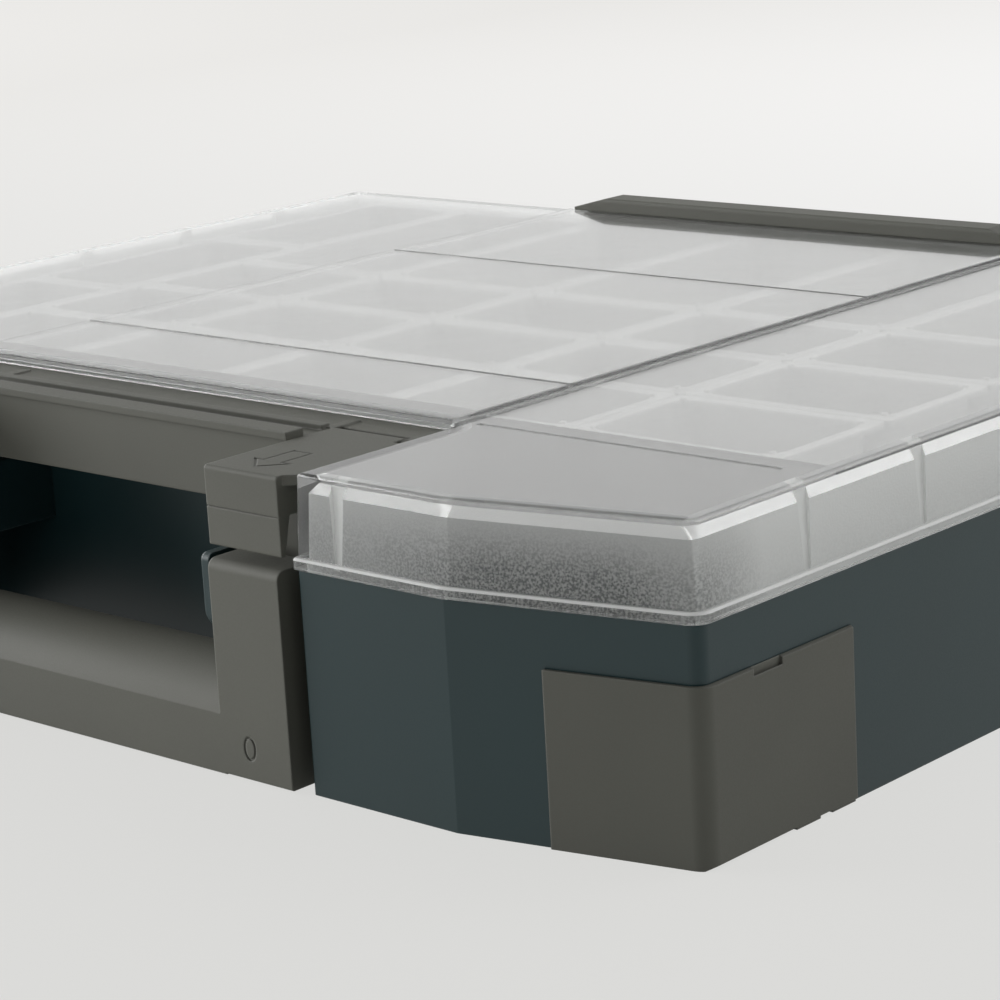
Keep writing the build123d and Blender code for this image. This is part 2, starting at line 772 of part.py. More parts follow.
def lid_knuckle(x_low, x_high, apron_back, apron_bottom):
    arm = profile_along_x(
        [(back_y, apron_bottom + hinge_arm_rise), (apron_back, apron_bottom + hinge_arm_rise),
         (hinge_y + knuckle_radius, hinge_height + hinge_arm_bulge),
         (hinge_y + knuckle_radius, hinge_height), (hinge_y, hinge_height),
         (back_y + hinge_arm_gap, hinge_height + hinge_arm_waist)],
        x_low, x_high)
    eye = rod_along_x(knuckle_radius, hinge_y, hinge_height, x_low, x_high)
    bore_radius = hinge_pin_radius + running_clearance
    bore = rod_along_x(bore_radius, hinge_y, hinge_height, x_low - overshoot, x_high + overshoot)
    return arm + eye - bore


def insert_cup(width, depth):
    """A tapered cup with a rim flange and a nub at each corner of the flange."""
    outer_x = width - cup_gap
    outer_y = depth - cup_gap
    height = cup_top - base_floor
    flange_bottom = height - cup_flange_thickness
    mouth = RectangleRounded(outer_x - 2 * cup_flange, outer_y - 2 * cup_flange, cup_corner_radius)
    cup = Pos(0, 0, height) * extrude(mouth, amount=-height, taper=cup_draft_degrees)
    rim = RectangleRounded(outer_x, outer_y, cup_flange)
    cup += Pos(0, 0, flange_bottom) * extrude(rim, amount=cup_flange_thickness)
    reach = 2 * (cup_flange + cup_wall)
    inner_radius = cup_corner_radius - cup_wall
    inner = RectangleRounded(outer_x - reach, outer_y - reach, inner_radius)
    cup -= Pos(0, 0, height) * extrude(inner, amount=-(height - cup_wall), taper=cup_draft_degrees)
    for x_side in (1, -1):
        for y_side in (1, -1):
            nub_x = x_side * (outer_x / 2 - cup_nub_inset)
            nub_y = y_side * (outer_y / 2 - cup_nub_inset)
            nub = Cylinder(cup_nub_radius, cup_nub_height + sink)
            cup += Pos(nub_x, nub_y, height + (cup_nub_height - sink) / 2) * nub
    return cup


def cup_places():
    """Name, middle and size of every cup: short rows, a deep row behind, a narrow column."""
    places = {}
    for column in range(cup_columns):
        x = tub_right - (column + 0.5) * cup_width
        for row in range(cup_short_rows):
            y = tub_front + (row + 0.5) * cup_row_depth
            places[f"insert_row{row + 1}_column{column + 1}"] = (x, y, cup_width, cup_row_depth)
        y = tub_front + tub_depth - rear_cup_depth / 2
        places[f"insert_rear_column{column + 1}"] = (x, y, cup_width, rear_cup_depth)
    narrow_depth = tub_depth / narrow_column_cups
    for index in range(narrow_column_cups):
        y = tub_front + (index + 0.5) * narrow_depth
        x = -tub_right + narrow_column_width / 2
        places[f"insert_narrow_{index + 1}"] = (x, y, narrow_column_width, narrow_depth)
    return places


def pins():
    """Steel pins: handle pivots, latch pivots and hinge pins, right and left."""
    handle_pin = rod_along_x(handle_pin_radius, pivot_y, pivot_height,
                             ear_inner_x, arm_outer_x - pin_cap - side_clearance)
    latch_pin = rod_along_x(latch_pin_radius, latch_pivot_y, latch_pivot_z,
                            latch_inner_x - lug_gap - lug_thickness, latch_outer_x + lug_gap + lug_thickness)
    hinge_reach = (hinge_segments * hinge_segment - hinge_segment_gap) / 2
    hinge_pin = rod_along_x(hinge_pin_radius, hinge_y, hinge_height,
                            hinge_centre_x - hinge_reach, hinge_centre_x + hinge_reach)
    found = {}
    for name, pin in (("handle_pin", handle_pin), ("latch_pin", latch_pin), ("hinge_pin", hinge_pin)):
        found[name + "_right"] = pin
        found[name + "_left"] = mirrored(pin)
    return found


def build_nodes():
    nodes = {"base_tray": base_tray()}
    nodes.update(all_guards())
    catch = latch_catch()
    nodes["latch_catch_right"] = catch
    nodes["latch_catch_left"] = mirrored(catch)
    nodes["lid_shell"] = lid_shell()
    nodes["front_bar"] = front_bar()
    nodes["rear_rail"] = rear_rail()
    right_latch = latch()
    nodes["latch_right"] = right_latch
    nodes["latch_left"] = mirrored(right_latch)
    nodes["carry_handle"] = carry_handle()
    nodes.update(pins())
    cups = {}
    for name, (x, y, width, depth) in cup_places().items():
        if (width, depth) not in cups:
            cups[(width, depth)] = insert_cup(width, depth)
        nodes[name] = Pos(x, y, base_floor) * cups[(width, depth)]
    return nodes


def write_nodes():
    os.makedirs("parts", exist_ok=True)
    for name, shape in build_nodes().items():
        placed = Pos(0, frame_shift_y, 0) * shape
        export_step(placed, f"parts/{name}.step")
        box = placed.bounding_box()
        print(f"{name:28s} {box.min.X:8.2f} {box.min.Y:8.2f} {box.min.Z:7.2f}"
              f" to {box.max.X:8.2f} {box.max.Y:8.2f} {box.max.Z:7.2f}")


write_nodes()
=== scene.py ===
# %% [markdown]
# # An assortment case
# The case is a deep teal tray with a clear lid, grey latches, a grey fold-down handle and white cups.
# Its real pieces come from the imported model, at their real size and place. This lesson gives each of
# them its finish, then sets up the camera and the light of a plain product picture.

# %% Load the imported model
import json
import math

import bpy
from mathutils import Matrix, Vector


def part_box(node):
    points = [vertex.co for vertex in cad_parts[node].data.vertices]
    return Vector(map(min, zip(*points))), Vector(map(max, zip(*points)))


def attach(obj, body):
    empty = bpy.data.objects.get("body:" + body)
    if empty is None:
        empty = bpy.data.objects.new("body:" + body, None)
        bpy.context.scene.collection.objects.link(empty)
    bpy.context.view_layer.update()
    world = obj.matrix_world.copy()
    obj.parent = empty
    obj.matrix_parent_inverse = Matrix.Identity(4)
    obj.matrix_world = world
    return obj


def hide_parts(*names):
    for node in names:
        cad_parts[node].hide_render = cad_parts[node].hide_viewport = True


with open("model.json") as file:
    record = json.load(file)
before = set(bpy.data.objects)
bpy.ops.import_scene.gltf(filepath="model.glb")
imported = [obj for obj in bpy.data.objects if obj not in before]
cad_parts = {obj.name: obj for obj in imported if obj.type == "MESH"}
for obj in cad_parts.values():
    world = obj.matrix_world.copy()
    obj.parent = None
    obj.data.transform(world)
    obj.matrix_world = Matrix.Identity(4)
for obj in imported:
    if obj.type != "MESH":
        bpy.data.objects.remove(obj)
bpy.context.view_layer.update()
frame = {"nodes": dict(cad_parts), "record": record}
NODES = frame["nodes"]
MM = 0.001

# %% [markdown]
# ## The camera
# The picture was taken with a long lens, low and close to one front corner. A camera can be aimed with
# a target, but three angles say more plainly how it was held: turned to the left of straight ahead,
# tipped down, and rolled a little, as a camera in the hand is. The angles are in degrees.

# %% Camera
CAMERA_PLACE = (0.5998, -0.6396, 0.2455)
CAMERA_TURN = 42.81
CAMERA_TIP = 14.28
CAMERA_ROLL = -3.26
LENS_MM = 109.6
SENSOR_MM = 36.0
NEAREST_SEEN = 10 * MM


def make_camera():
    data = bpy.data.cameras.new("camera")
    data.lens = LENS_MM
    data.sensor_width = SENSOR_MM
    data.clip_start = NEAREST_SEEN
    camera = bpy.data.objects.new("camera", data)
    turn = Matrix.Rotation(math.radians(CAMERA_TURN), 4, "Z")
    tip = Matrix.Rotation(math.radians(90.0 - CAMERA_TIP), 4, "X")
    roll = Matrix.Rotation(math.radians(CAMERA_ROLL), 4, "Z")
    camera.matrix_world = Matrix.Translation(CAMERA_PLACE) @ turn @ tip @ roll
    bpy.context.scene.collection.objects.link(camera)
    bpy.context.scene.camera = camera
    return camera


looks_along = make_camera().matrix_world.to_3x3() @ Vector((0, 0, -1))
print("camera looks along", [round(v, 3) for v in looks_along])

# %% [markdown]
# ## Small helpers for shader nodes
# Each finish is a small graph of nodes. They could be joined by hand in the Shader Editor, but as code
# a graph can be read and changed in one place. The first helper feeds inputs: a socket is linked, a
# plain value is written. The second adds a node with its options set and its inputs fed.

# %% Feeding and adding nodes
def feed(tree, node, inputs):
    """Links a socket, or writes a value, to each input given by name or number."""
    for name, value in inputs.items():
        if isinstance(value, bpy.types.NodeSocket):
            tree.links.new(value, node.inputs[name])
        else:
            node.inputs[name].default_value = value


def add_node(tree, kind, inputs=None, **settings):
    node = tree.nodes.new(kind)
    for name, value in settings.items():
        setattr(node, name, value)
    feed(tree, node, inputs or {})
    return node


print("helpers: feed, add_node")

# %% [markdown]
# A few kinds of node come back in every finish, so each gets a helper with the inputs that matter:
# sums, a spread from one range of values to another, a mix of two colours, noise, and a bump.

# %% Helpers for the common nodes
def math_node(tree, operation, first, second=0.0, clamp=False):
    node = add_node(tree, "ShaderNodeMath", {0: first, 1: second}, operation=operation, use_clamp=clamp)
    return node.outputs[0]


def product(tree, *values):
    """The product of two or more values."""
    result = values[0]
    for value in values[1:]:
        result = math_node(tree, "MULTIPLY", result, value)
    return result


def spread(tree, value, start=0.0, end=1.0, low=0.0, high=1.0, kind="LINEAR"):
    """Runs from low to high while the value goes from start to end."""
    node = add_node(tree, "ShaderNodeMapRange",
                    {"Value": value, "From Min": start, "From Max": end, "To Min": low, "To Max": high},
                    interpolation_type=kind)
    return node.outputs["Result"]


def mix_colours(tree, share, first, second):
    node = add_node(tree, "ShaderNodeMix", {"Factor": share, "A": first, "B": second}, data_type="RGBA")
    return node.outputs["Result"]


def object_place(tree):
    """The point being shaded in the object's own metres, so that a pattern rides with its piece."""
    return add_node(tree, "ShaderNodeTexCoord").outputs["Object"]


def noise(tree, place, scale, detail, roughness):
    node = add_node(tree, "ShaderNodeTexNoise",
                    {"Vector": place, "Scale": scale, "Detail": detail, "Roughness": roughness})
    return node.outputs["Fac"]


def bump(tree, height, depth, strength, base=None):
    """A normal that follows a height; base is the normal it starts from, where it isn't the face's own."""
    node = add_node(tree, "ShaderNodeBump", {"Strength": strength, "Distance": depth, "Height": height})
    if base is not None:
        feed(tree, node, {"Normal": base})
    return node.outputs["Normal"]


print("common nodes: maths, spread, colour mix, place, noise, bump")

# %% [markdown]
# An effect that several finishes share goes into a node group, which is built once and placed in each
# material with values of its own. The shader itself stays in the material, where its plain values,
# such as how much light passes through, are set on its own sockets.

# %% Helpers for groups and materials
def new_group(name, inputs, outputs):
    """A shader node group with number inputs and named outputs; returns its tree and its two ends."""
    tree = bpy.data.node_groups.new(name, "ShaderNodeTree")
    for label, value in inputs.items():
        socket = tree.interface.new_socket(label, in_out="INPUT", socket_type="NodeSocketFloat")
        socket.default_value = value
    for label, kind in outputs.items():
        tree.interface.new_socket(label, in_out="OUTPUT", socket_type=kind)
    return tree, tree.nodes.new("NodeGroupInput"), tree.nodes.new("NodeGroupOutput")


def place_group(tree, group, **inputs):
    """Places a group; an input called Grain_Scale here is the socket Grain Scale."""
    named = {name.replace("_", " "): value for name, value in inputs.items()}
    return add_node(tree, "ShaderNodeGroup", named, node_tree=group).outputs


def new_material(name, fixed):
    """A material with its tree and its Principled shader, whose plain values are set from fixed."""
    material = bpy.data.materials.new(name)
    material.use_nodes = True
    shader = material.node_tree.nodes["Principled BSDF"]
    feed(material.node_tree, shader, fixed)
    return material, material.node_tree, shader


print("materials start from", bpy.app.version_string, "defaults")

# %% [markdown]
# ## Moulded grain
# Tool makers etch the steel of a mould, so plastic comes out with a fine even grain and a soft sheen.
# The grain is far too small to model. Two noises in the object's own metres stand for it: a fine one
# for the height of a bump and for specks of sheen, and a slow one for the way that tone drifts as
# plastic cools unevenly. All plastics here share the group, each with its own scale.

# %% Moulded grain group
GRAIN_PER_METRE = 2600.0
DRIFT_PER_METRE = 14.0
SPECKLE_RANGE = (0.35, 0.65)


def make_moulded_grain():
    tree, ins, outs = new_group(
        "moulded grain",
        {"Grain Scale": GRAIN_PER_METRE, "Drift Scale": DRIFT_PER_METRE},
        {"Height": "NodeSocketFloat", "Drift": "NodeSocketFloat", "Speckle": "NodeSocketFloat"})
    place = object_place(tree)
    fine = noise(tree, place, ins.outputs["Grain Scale"], detail=3.0, roughness=0.6)
    drift = noise(tree, place, ins.outputs["Drift Scale"], detail=2.0, roughness=0.5)
    feed(tree, outs, {"Height": fine, "Drift": drift, "Speckle": spread(tree, fine, *SPECKLE_RANGE)})
    return tree


MOULDED_GRAIN = make_moulded_grain()
print("group:", MOULDED_GRAIN.name, "with", len(MOULDED_GRAIN.nodes), "nodes")

# %% [markdown]
# ## Edges
# No moulded edge is truly sharp. Real bevels on every edge would swell the mesh, so a Bevel node rounds the
# normal instead, and where that normal leaves the flat face's own normal there is an edge: their difference
# is the mask of the edges, where the opaque plastics and the cups paint a highlight in a paler colour.

# %% Soft edge group
EDGE_RADIUS = 0.6 * MM
BEVEL_SAMPLES = 6
EDGE_RANGE = (0.995, 0.80)


def make_soft_edge():
    tree, ins, outs = new_group(
        "soft edge", {"Radius": EDGE_RADIUS}, {"Normal": "NodeSocketVector", "Edge": "NodeSocketFloat"})
    rounded = add_node(tree, "ShaderNodeBevel", {"Radius": ins.outputs["Radius"]}, samples=BEVEL_SAMPLES)
    flat = add_node(tree, "ShaderNodeNewGeometry")
    agree = add_node(tree, "ShaderNodeVectorMath",
                     {0: rounded.outputs["Normal"], 1: flat.outputs["Normal"]}, operation="DOT_PRODUCT")
    edge = spread(tree, agree.outputs["Value"], *EDGE_RANGE)
    feed(tree, outs, {"Normal": rounded.outputs["Normal"], "Edge": edge})
    return tree


SOFT_EDGE = make_soft_edge()
print("group:", SOFT_EDGE.name, "with", len(SOFT_EDGE.nodes), "nodes")

# %% [markdown]
# ## Tray and fittings
# Tray, handle, latches and corner guards are opaque polypropylene. Each could have a material of its own,
# but one recipe serves: a base colour that drifts a little, a satin roughness broken up by the grain, and
# slightly paler edges, which are a painted highlight. Only the colours and the sheen differ.

# %% Opaque moulded plastic
DRIFT_RANGE = (0.3, 0.7)
TONE_CHANGE = 0.10
EDGE_HIGHLIGHT = 0.55
SMOOTHER, ROUGHER = -0.05, 0.06
GRAIN_DEPTH = 0.03 * MM
GRAIN_STRENGTH = 0.5


def moulded_plastic(name, colour, edge, roughness):
    material, tree, shader = new_material(name, {})
    grain = place_group(tree, MOULDED_GRAIN)
    edges = place_group(tree, SOFT_EDGE)
    tone = spread(tree, grain["Drift"], *DRIFT_RANGE, low=1.0 - TONE_CHANGE, high=1.0 + TONE_CHANGE)
    tinted = add_node(tree, "ShaderNodeVectorMath", {0: colour, "Scale": tone}, operation="SCALE")
    # The paler edge colour is a painted highlight.
    painted_highlight = product(tree, edges["Edge"], EDGE_HIGHLIGHT)
    feed(tree, shader, {
        "Base Color": mix_colours(tree, painted_highlight, tinted.outputs["Vector"], (*edge, 1.0)),
        "Roughness": spread(tree, grain["Speckle"], low=roughness + SMOOTHER, high=roughness + ROUGHER),
        "Normal": bump(tree, grain["Height"], GRAIN_DEPTH, GRAIN_STRENGTH, edges["Normal"]),
    })
    return material


TRAY_TEAL = moulded_plastic(
    "tray teal", colour=(0.004, 0.0245, 0.0275), edge=(0.05, 0.085, 0.09), roughness=0.40)
FITTINGS_GREY = moulded_plastic(
    "fittings grey", colour=(0.104, 0.106, 0.088), edge=(0.21, 0.21, 0.19), roughness=0.60)
GUARD_GREY = moulded_plastic(
    "guard grey", colour=(0.086, 0.088, 0.073), edge=(0.19, 0.19, 0.17), roughness=0.60)
print("opaque plastics:", [plastic.name for plastic in (TRAY_TEAL, FITTINGS_GREY, GUARD_GREY)])

# %% [markdown]
# ## Clear lid
# The lid is one clear moulding: polished outside, frosted inside on its flat panels, and satin on the
# ribs, on the bevel under its top and along its rim. One mask could not do all this, because frosted
# plastic also scatters light back, so the lid gets several materials, which its faces share out.
#
# The polished plastic comes first. Its sheet is faintly wavy, which a slow bump gives, and its rounded
# edges are a little rougher than its faces, so that they catch the light as bright lines.

# %% Polished plastic
LID_IOR = 1.56
CLEAR_TINT = (0.965, 0.975, 0.97, 1.0)
LID_EDGE_RADIUS = 0.7 * MM
EDGE_ROUGHNESS = 0.3
CLEAR_SPECKS_PER_METRE = 900.0
WAVES_PER_METRE = 30.0
WAVE_DEPTH = 0.2 * MM
WAVE_STRENGTH = 0.25


def polished_plastic(name, low_roughness, high_roughness):
    material, tree, shader = new_material(
        name, {"Transmission Weight": 1.0, "IOR": LID_IOR, "Base Color": CLEAR_TINT})
    grain = place_group(
        tree, MOULDED_GRAIN, Grain_Scale=CLEAR_SPECKS_PER_METRE, Drift_Scale=WAVES_PER_METRE)
    edges = place_group(tree, SOFT_EDGE, Radius=LID_EDGE_RADIUS)
    rough = spread(tree, grain["Speckle"], low=low_roughness, high=high_roughness)
    feed(tree, shader, {
        "Roughness": math_node(tree, "ADD", rough, product(tree, edges["Edge"], EDGE_ROUGHNESS)),
        "Normal": bump(tree, grain["Drift"], WAVE_DEPTH, WAVE_STRENGTH, edges["Normal"]),
    })
    return material


CLEAR_LID = polished_plastic("clear lid", low_roughness=0.03, high_roughness=0.08)
print("material:", CLEAR_LID.name)

# %% [markdown]
# Frost comes from a mould that is etched, so its grain is coarser than that of the opaque parts. It could
# be a plain rough glass, but on the front panels the frost thins out towards the rim, and the dark inside
# shows between its grains. The group gives a colour that runs from milky to dark, and the dark is painted
# shade: the shaded inside, seen through thin frost, put into the lid's own colour. How low a point lies
# sets how dark it is, less so beside the niche, at the outer corners and on the side walls. A noise breaks
# the dark into grains, and a thin even veil of painted shade lies over all of it.

# %% Etched frost group
FROST_WHITE = (0.92, 0.93, 0.92, 1.0)
FROST_PAINTED_SHADE = (0.07, 0.08, 0.08, 1.0)
FROST_PER_METRE = 1700.0
PANEL_TOP, PANEL_FOOT = 77 * MM, 60 * MM
SIDE_PANELS, FRONT_PANELS = -128 * MM, -148 * MM
SIDE_SHARE = 0.15
NICHE_END, SLANT_BEGIN = 118 * MM, 156 * MM
NICHE_SHARE = 0.36
CORNER_BEGIN, CORNER_END = 186 * MM, 200 * MM
CORNER_SHARE = 0.6
GRAIN_RANGE = (0.36, 0.64)
FEW_GRAINS, MANY_GRAINS = 0.30, 1.15
SHADE_VEIL = 0.33


def make_etched_frost():
    tree, ins, outs = new_group(
        "etched frost", {"Grain Scale": FROST_PER_METRE},
        {"Colour": "NodeSocketColor", "Milk": "NodeSocketFloat", "Height": "NodeSocketFloat"})
    place = object_place(tree)
    axes = add_node(tree, "ShaderNodeSeparateXYZ", {"Vector": place}).outputs
    across = math_node(tree, "ABSOLUTE", axes["X"])
    grain = noise(tree, place, ins.outputs["Grain Scale"], detail=1.0, roughness=0.5)
    low = spread(tree, axes["Z"], PANEL_TOP, PANEL_FOOT, kind="SMOOTHSTEP")
    front = spread(tree, axes["Y"], SIDE_PANELS, FRONT_PANELS, low=SIDE_SHARE)
    slanted = spread(tree, across, NICHE_END, SLANT_BEGIN, low=NICHE_SHARE)
    corner = spread(tree, across, CORNER_BEGIN, CORNER_END, low=1.0, high=CORNER_SHARE)
    grains = spread(tree, grain, *GRAIN_RANGE, low=FEW_GRAINS, high=MANY_GRAINS)
    thin = product(tree, low, front, slanted, corner, grains, 1.0 - SHADE_VEIL)
    thin_frost_and_shade = math_node(tree, "ADD", thin, product(tree, front, SHADE_VEIL))
    milk = math_node(tree, "SUBTRACT", 1.0, thin_frost_and_shade, clamp=True)
    # Painted shade where the frost is thin, milky white where it is thick.
    colour = mix_colours(tree, milk, FROST_PAINTED_SHADE, FROST_WHITE)
    feed(tree, outs, {"Colour": colour, "Milk": milk, "Height": grain})
    return tree


ETCHED_FROST = make_etched_frost()
print("group:", ETCHED_FROST.name, "with", len(ETCHED_FROST.nodes), "nodes")

# %% [markdown]
# The frosted panels of the walls let some light through and scatter the rest. The front ones let more
# through than the side ones, which look milky. The frost could be painted on a picture wrapped round
# the lid, but a group that reads height and place needs no unwrapping and stays sharp at any size.
# Where the frost is thin the surface is smoother too.

# %% Frosted panels
THIN_FROST_ROUGHNESS = 0.6
FROST_DEPTH = 0.1 * MM


def frosted_panel(name, transmission, roughness):
    material, tree, shader = new_material(name, {"Transmission Weight": transmission, "IOR": LID_IOR})
    frost = place_group(tree, ETCHED_FROST)
    feed(tree, shader, {
        # The colour's dark end is painted shade of the inside.
        "Base Color": frost["Colour"],
        "Roughness": spread(tree, frost["Milk"], low=THIN_FROST_ROUGHNESS * roughness, high=roughness),
        "Normal": bump(tree, frost["Height"], FROST_DEPTH, GRAIN_STRENGTH),
    })
    return material


FROSTED_FRONT = frosted_panel("frosted lid walls", transmission=0.33, roughness=0.55)
MILKY_SIDES = frosted_panel("milky lid sides", transmission=0.12, roughness=0.50)
print("materials:", [FROSTED_FRONT.name, MILKY_SIDES.name])

# %% [markdown]
# Bevel, ribs and rim come from faces of the mould that are neither etched nor polished. They get an
# even satin: a pale tint that hardly drifts, and a shallow grain. The bevel passes most light, while
# the solid ribs and the thick rim look milky, so they share the recipe with other amounts.

# %% Satin plastic
SATIN_TINTS = (0.89, 0.90, 0.89, 1.0), (0.95, 0.96, 0.95, 1.0)
SATIN_CHANGE = 0.04
SATIN_DEPTH = 0.02 * MM


def satin_plastic(name, transmission, roughness):
    material, tree, shader = new_material(name, {"Transmission Weight": transmission, "IOR": LID_IOR})
    grain = place_group(tree, MOULDED_GRAIN, Grain_Scale=FROST_PER_METRE)
    low, high = roughness - SATIN_CHANGE, roughness + SATIN_CHANGE
    feed(tree, shader, {
        "Base Color": mix_colours(tree, grain["Drift"], *SATIN_TINTS),
        "Roughness": spread(tree, grain["Speckle"], low=low, high=high),
        "Normal": bump(tree, grain["Height"], SATIN_DEPTH, GRAIN_STRENGTH),
    })
    return material


SATIN_BEVEL = satin_plastic("satin lid bevel", transmission=0.82, roughness=0.42)
MILKY_RIBS = satin_plastic("milky ribs and rim line", transmission=0.12, roughness=0.40)
print("materials:", [SATIN_BEVEL.name, MILKY_RIBS.name])

# %% [markdown]
# Under the roof the frost is thin over the cups, so that their rims show through, and thick over the empty
# front shoulders, where it hides the inside. There the roof is also tinted grey, which is painted shade:
# the dark inside seen through the frost. Two materials would need a cut across the roof's faces. A step
# along the depth of the case tells the two zones apart in one material.

# %% Frosted roof
CUPS_BEGIN = -97.5 * MM
ROOF_TRANSMISSION = 0.86
SHOULDER_PAINTED_SHADE = (0.60, 0.60, 0.59, 1.0)
OPEN_TINT = (0.95, 0.955, 0.95, 1.0)
SHOULDER_ROUGHNESS, OPEN_ROUGHNESS = 0.40, 0.07
ROOF_GRAIN_PER_METRE = 1500.0
ROOF_GRAIN_DEPTH = 0.01 * MM
ROOF_GRAIN_STRENGTH = 0.4


def frosted_roof(name):
    material, tree, shader = new_material(name, {"Transmission Weight": ROOF_TRANSMISSION, "IOR": LID_IOR})
    depth = add_node(tree, "ShaderNodeSeparateXYZ", {"Vector": object_place(tree)}).outputs["Y"]
    over_cups = spread(tree, depth, CUPS_BEGIN - MM, CUPS_BEGIN)
    grain = place_group(tree, MOULDED_GRAIN, Grain_Scale=ROOF_GRAIN_PER_METRE)
    feed(tree, shader, {
        # The grey over the shoulders is painted shade of the dark inside.
        "Base Color": mix_colours(tree, over_cups, SHOULDER_PAINTED_SHADE, OPEN_TINT),
        "Roughness": spread(tree, over_cups, low=SHOULDER_ROUGHNESS, high=OPEN_ROUGHNESS),
        "Normal": bump(tree, grain["Height"], ROOF_GRAIN_DEPTH, ROOF_GRAIN_STRENGTH),
    })
    return material


FROSTED_ROOF = frosted_roof("frosted lid roof")
print("material:", FROSTED_ROOF.name)

# %% [markdown]
# ## Which face gets which finish
# The faces could be picked by hand, but the lid's own shape can tell them apart. Its inner faces lie
# deeper than its outer ones under the planes that bound it: two side walls, the rear wall, the front
# with its slanted ends, the niche between the shoulders, and the top. The roof is thinner than the
# walls, so depth under the top counts for more.

# %% Depth under the outer skin
LID_LOW, LID_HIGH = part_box("lid_shell")
NICHE_HALF_WIDTH = 94.7 * MM
NICHE_DEPTH = 56.0 * MM
SHOULDER_FLAT = 47.9 * MM
SHOULDER_SETBACK = 13.6 * MM
SHOULDER_TOP = LID_HIGH.z - 1.2 * MM
ROOF_COUNTS_FOR = 1.6


def depth_under_skin(point):
    """Depth in metres of a point of the lid under its wall, its niche or its top."""
    across = abs(point.x)
    from_front = point.y - LID_LOW.y
    bend = NICHE_HALF_WIDTH + SHOULDER_FLAT
    run = LID_HIGH.x - bend
    slope = math.hypot(run, SHOULDER_SETBACK)
    slanted = (from_front * run - (across - bend) * SHOULDER_SETBACK) / slope
    niche = max(across - NICHE_HALF_WIDTH, from_front - NICHE_DEPTH)
    roof = (SHOULDER_TOP - point.z) * ROOF_COUNTS_FOR
    return min(LID_HIGH.x - across, LID_HIGH.y - point.y, from_front, slanted, niche, roof)


print("lid runs from", [round(v, 4) for v in LID_LOW], "to", [round(v, 4) for v in LID_HIGH])

# %% [markdown]
# The ribs stiffen the walls from inside: a row of them at an even pitch along each side, and one in
# each front panel, next to the niche. They are part of the lid's one mesh and could be separated from
# it, but then their joints with the wall would show. Their places follow from the pitch, so the faces
# of a rib are those near its place, on the inner side of a wall.

# %% Ribs
RIB_PITCH = 45.5 * MM
FIRST_RIB = 55.5 * MM
RIB_REACH = 2.7 * MM
FRONT_RIB_X = NICHE_HALF_WIDTH + 13.7 * MM
WALL_REACH = 9 * MM


def near_rib(point):
    from_front = point.y - LID_LOW.y
    from_rib = (from_front - FIRST_RIB + RIB_PITCH / 2) % RIB_PITCH - RIB_PITCH / 2
    on_side = LID_HIGH.x - abs(point.x) < WALL_REACH and abs(from_rib) < RIB_REACH
    on_front = from_front < WALL_REACH and abs(abs(point.x) - FRONT_RIB_X) < RIB_REACH
    return on_side or on_front


print("first side rib at y =", round(LID_LOW.y + FIRST_RIB, 4), "and one each", RIB_PITCH)

# %% [markdown]
# What is left goes by the way that a face looks. The underside of the roof looks straight down, the
# bevel leans, and an upright face is a panel, of the side where it looks sideways. The rim's flat line
# lies lowest of all, just inside its edge. The order of the tests matters: each one takes its faces
# from those that the tests before it have left.

# %% Finish of a face
INNER_DEPTH = 3.0 * MM
RIM_HEIGHT = 2.8 * MM
RIM_REACH = 2.0 * MM
ROOF_REACH = 5.0 * MM
LEVEL, STRAIGHT_DOWN, LEANING, SIDEWAYS = 0.6, -0.95, 0.3, 0.9
LID_FINISHES = [CLEAR_LID, FROSTED_FRONT, FROSTED_ROOF, SATIN_BEVEL, MILKY_SIDES, MILKY_RIBS]


def lid_finish(face):
    place, looks = face.center, face.normal
    depth = depth_under_skin(place)
    if depth < RIM_REACH and place.z < LID_LOW.z + RIM_HEIGHT and abs(looks.z) > LEVEL:
        return MILKY_RIBS
    if looks.z < STRAIGHT_DOWN and place.z > LID_HIGH.z - ROOF_REACH:
        return FROSTED_ROOF
    if depth < INNER_DEPTH:
        return CLEAR_LID
    if near_rib(place):
        return MILKY_RIBS
    if abs(looks.z) > LEANING:
        return SATIN_BEVEL
    return MILKY_SIDES if abs(looks.x) > SIDEWAYS else FROSTED_FRONT


print("the lid's faces share", len(LID_FINISHES), "finishes")

# %% [markdown]
# The materials could go onto the imported lid itself. A copy of its mesh carries them instead, face by
# face, so that the imported mesh stays as it is and can be compared with its dressed copy. The copy stands
# for the imported lid, which it hides, and is attached to the lid's body.

# %% Lid with its finishes
def make_lid():
    lid = NODES["lid_shell"].copy()
    lid.data = lid.data.copy()
    lid.name = "clear_lid"
    bpy.context.scene.collection.objects.link(lid)
    lid.data.materials.clear()
    for finish in LID_FINISHES:
        lid.data.materials.append(finish)
    for face in lid.data.polygons:
        face.material_index = LID_FINISHES.index(lid_finish(face))
    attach(lid, "lid")
    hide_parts("lid_shell")
    return lid


lid_faces = [face.material_index for face in make_lid().data.polygons]
for number, finish in enumerate(LID_FINISHES):
    print(finish.name, "on", lid_faces.count(number), "faces")

# %% [markdown]
# ## Milky cups
# The cups are natural polypropylene: white, a little see-through, with a waxy gloss. A full volume would be
# true but slow, and the thin walls hardly need it. Some transmission under a smooth coat gives the same
# milk, and a paler colour on the edges paints a highlight along the rims.

# %% Milky plastic
MILKY_TINTS = (0.66, 0.67, 0.65, 1.0), (0.76, 0.77, 0.75, 1.0)
PAINTED_RIM_HIGHLIGHT = (0.97, 0.97, 0.96, 1.0)
CUP_EDGE_RADIUS = 0.9 * MM


